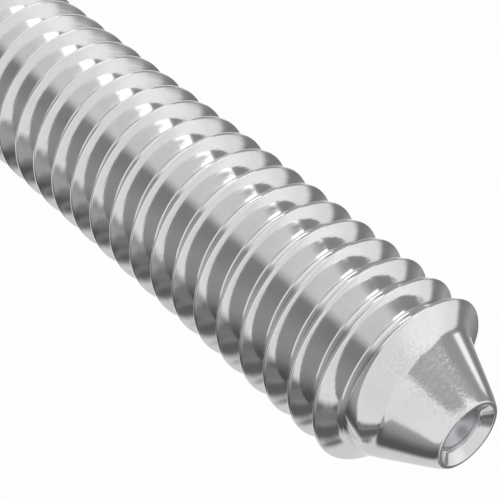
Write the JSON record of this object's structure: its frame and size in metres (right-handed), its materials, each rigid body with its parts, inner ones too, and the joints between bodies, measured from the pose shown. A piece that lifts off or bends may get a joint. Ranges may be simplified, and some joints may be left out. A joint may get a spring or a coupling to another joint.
{
  "type": "grub set screw",
  "caption": "Headless set screw, threaded over its whole length, with a cup point on a long cone and a hexagon socket in its flat end.",
  "frame": {"origin": "middle of the flat ring on the socket end, which the screw stands on", "axes": "+Z along the screw's axis, from the socket end to the cup point"},
  "size_m": [0.0038, 0.0038, 0.02],
  "materials": {
    "zinc_plated_steel": "bright smooth plating with soft reflections"
  },
  "bodies": {
    "root": {"set_screw": "zinc_plated_steel"}
  },
  "joints": []
}
